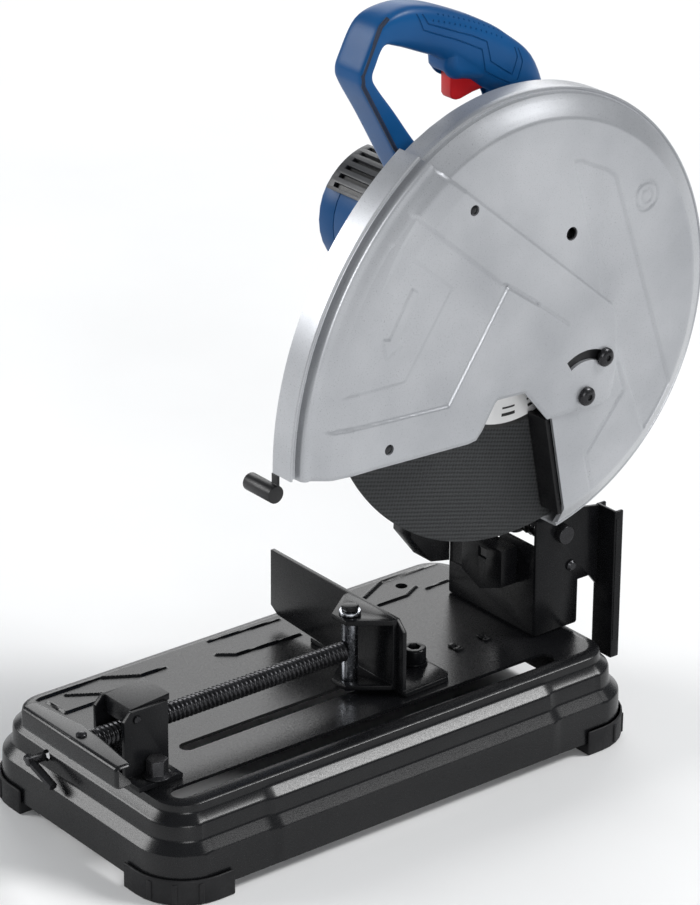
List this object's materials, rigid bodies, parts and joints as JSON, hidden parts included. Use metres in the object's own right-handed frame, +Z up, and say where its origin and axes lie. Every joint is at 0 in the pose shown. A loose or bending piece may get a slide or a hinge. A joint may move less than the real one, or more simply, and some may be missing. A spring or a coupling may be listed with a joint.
{
  "type": "abrasive chop saw",
  "caption": "Bench abrasive chop saw: pressed base with a quick-release screw vise, and a hinged cutting head with motor, gears, abrasive disc, fixed guard and swinging front guard.",
  "frame": {"origin": "centre of the overall box at the level of the feet", "axes": "+Z up; +Y from the operator's side to the hinge; +X to the operator's right, the side the disc and its guards are on"},
  "size_m": [0.258, 0.5598, 0.6315],
  "materials": {
    "black_paint": "satin black powder coat",
    "rubber": "matt moulded rubber",
    "bright_steel": "zinc-plated or turned steel",
    "dark_steel": "blackened or lacquered steel",
    "bronze": "sintered bearing bronze",
    "cast_aluminium": "satin, fine-grained",
    "blue_plastic": "satin moulded nylon",
    "black_plastic": "moulded, fine texture",
    "red_plastic": "smooth moulded",
    "abrasive": "resin-bonded grit with woven mesh"
  },
  "bodies": {
    "base": {"base_pan": "black_paint", "foot_front_right": "rubber", "foot_front_left": "rubber", "foot_rear_right": "rubber", "foot_rear_left": "rubber", "hinge_pedestal": "black_paint", "stop_bracket": "black_paint", "stop_bolt": "bright_steel", "spark_guard": "black_paint", "pivot_bolt": "bright_steel", "pivot_nut": "bright_steel", "return_spring": "dark_steel", "fence_pivot_bolt": "bright_steel", "fence_clamp_bolt": "bright_steel", "nut_bracket": "black_paint", "latch_pin": "bright_steel", "half_nut": "dark_steel", "nut_bolt": "bright_steel", "hex_key": "dark_steel"},
    "cutting_head": {"arm_casting": "black_paint", "arm_bush_left": "bronze", "arm_bush_right": "bronze", "gear_housing": "cast_aluminium", "gear_cover": "cast_aluminium", "motor_housing": "blue_plastic", "motor_end_cap": "blue_plastic", "vent_cover": "black_plastic", "stator": "dark_steel", "bearing_front": "bright_steel", "bearing_rear": "bright_steel", "bearing_inner": "bright_steel", "bearing_outer": "bright_steel", "brush_front": "dark_steel", "brush_rear": "dark_steel", "fixed_guard": "cast_aluminium", "spark_strip": "rubber", "flap_pivot_screw": "dark_steel", "flap_slot_screw": "dark_steel", "handle_left": "blue_plastic", "handle_right": "blue_plastic", "switch_body": "black_plastic", "cable_gland": "rubber"},
    "front_guard": {"guard_flap": "cast_aluminium", "lift_peg": "black_plastic"},
    "spindle": {"spindle_shaft": "bright_steel", "spindle_gear": "bright_steel", "flange_inner": "bright_steel", "abrasive_disc": "abrasive", "flange_outer": "bright_steel", "spindle_bolt": "bright_steel"},
    "armature": {"armature_shaft": "bright_steel", "armature_core": "dark_steel", "cooling_fan": "black_plastic"},
    "switch_trigger": {"trigger": "red_plastic"},
    "fence_plate": {"fence": "black_paint"},
    "jaw_slider": {"jaw_pin": "bright_steel"},
    "jaw": {"jaw_bracket": "black_paint"},
    "vise_screw": {"clamp_screw": "dark_steel", "wing_handle": "black_paint"},
    "quick_release": {"release_latch": "black_paint"}
  },
  "joints": [
    {"name": "arm_swing", "type": "hinge", "parent": "base", "child": "cutting_head", "pos_m": [0, 0.18285, 0.1623], "axis": [1, 0, 0], "range_deg": [0, 48], "stiffness_Nm_per_rad": 22, "springref_deg": -42.97},
    {"name": "front_guard_swing", "type": "hinge", "parent": "cutting_head", "child": "front_guard", "pos_m": [0, 0.14715, 0.3112], "axis": [1, 0, 0], "range_deg": [-55, 0]},
    {"name": "spindle_spin", "type": "hinge", "parent": "cutting_head", "child": "spindle", "pos_m": [0.06, 0.09645, 0.3763], "axis": [1, 0, 0], "continuous": true},
    {"name": "armature_spin", "type": "hinge", "parent": "cutting_head", "child": "armature", "pos_m": [0, 0.12315, 0.401], "axis": [1, 0, 0], "continuous": true},
    {"name": "trigger_squeeze", "type": "hinge", "parent": "cutting_head", "child": "switch_trigger", "pos_m": [0.048, 0.09915, 0.5545], "axis": [-1, 0, 0], "range_deg": [0, 8], "stiffness_Nm_per_rad": 0.6, "springref_deg": -5.73},
    {"name": "fence_swing", "type": "hinge", "parent": "base", "child": "fence_plate", "pos_m": [-0.025, 0.03515, 0.08], "axis": [0, 0, 1], "range_deg": [0, 22]},
    {"name": "jaw_slide", "type": "slide", "parent": "base", "child": "jaw_slider", "axis": [0, 1, 0], "range_m": [-0.14, 0]},
    {"name": "vise_screw_turn", "type": "hinge", "parent": "jaw_slider", "child": "vise_screw", "pos_m": [0.0355, -0.14285, 0.1106], "axis": [0, 1, 0], "continuous": true},
    {"name": "jaw_swivel", "type": "hinge", "parent": "jaw_slider", "child": "jaw", "pos_m": [0.0355, -0.01385, 0.1106], "axis": [0, 0, 1], "range_deg": [0, 22]},
    {"name": "quick_release_lift", "type": "hinge", "parent": "base", "child": "quick_release", "pos_m": [0.0355, -0.23085, 0.127], "axis": [1, 0, 0], "range_deg": [0, 60]}
  ],
  "couplings": [
    {"joint": "front_guard_swing", "follows": "arm_swing", "ratio": -1.1458},
    {"joint": "armature_spin", "follows": "spindle_spin", "ratio": -4.2},
    {"joint": "vise_screw_turn", "follows": "jaw_slide", "rad_per_m": 1570.8},
    {"joint": "jaw_swivel", "follows": "fence_swing", "ratio": 1}
  ]
}
